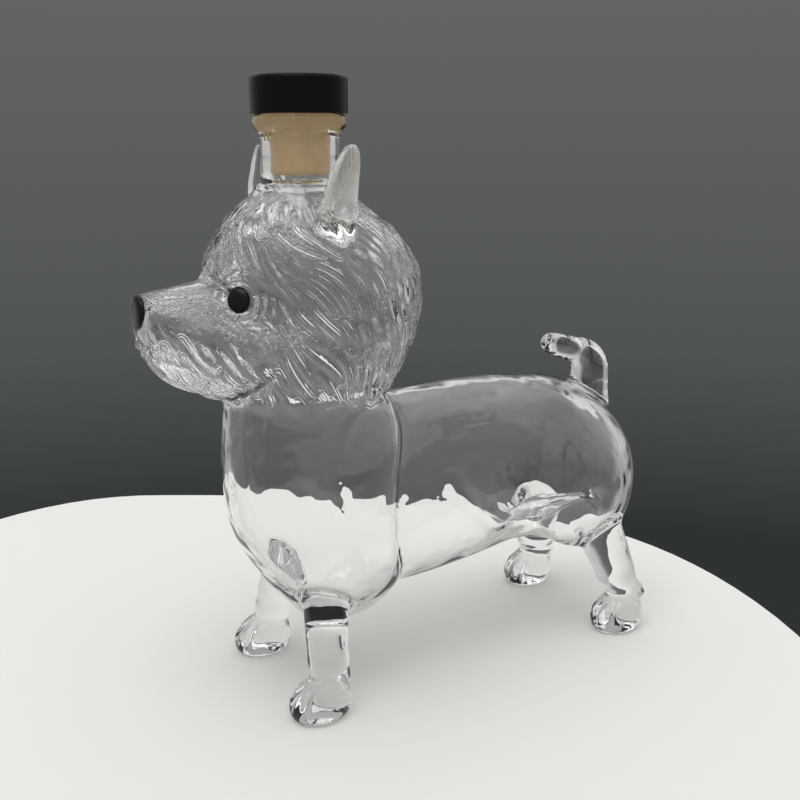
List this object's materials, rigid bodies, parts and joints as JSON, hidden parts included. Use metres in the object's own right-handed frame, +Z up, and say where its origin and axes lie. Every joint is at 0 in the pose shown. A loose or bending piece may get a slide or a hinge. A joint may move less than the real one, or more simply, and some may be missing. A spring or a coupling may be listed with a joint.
{
  "type": "figural liquor decanter",
  "caption": "Clear glass bottle in the shape of a standing dog, with a neck on top of the head and a black-capped cork stopper.",
  "frame": {"origin": "on the plane of the soles, under the middle of the object's box", "axes": "+Z up along the neck's axis; the dog faces -X; its left side is -Y"},
  "size_m": [0.1868, 0.0686, 0.2018],
  "materials": {
    "clear_glass": "polished",
    "black_glass": "gloss",
    "black_cap": "gloss",
    "cork": "matt"
  },
  "bodies": {
    "bottle": {"head_bulb": "clear_glass", "chest_bulb": "clear_glass", "trunk_bulb": "clear_glass", "neck_tube": "clear_glass", "left_ear": "clear_glass", "right_ear": "clear_glass", "front_left_leg": "clear_glass", "front_right_leg": "clear_glass", "rear_left_leg": "clear_glass", "rear_right_leg": "clear_glass", "tail": "clear_glass", "left_eye": "black_glass", "right_eye": "black_glass", "nose": "black_glass"},
    "stopper": {"stopper_plug": "cork", "stopper_cap": "black_cap"}
  },
  "joints": [
    {"name": "stopper_lift", "type": "slide", "parent": "bottle", "child": "stopper", "axis": [0, 0, 1], "range_m": [0, 0.03]}
  ]
}
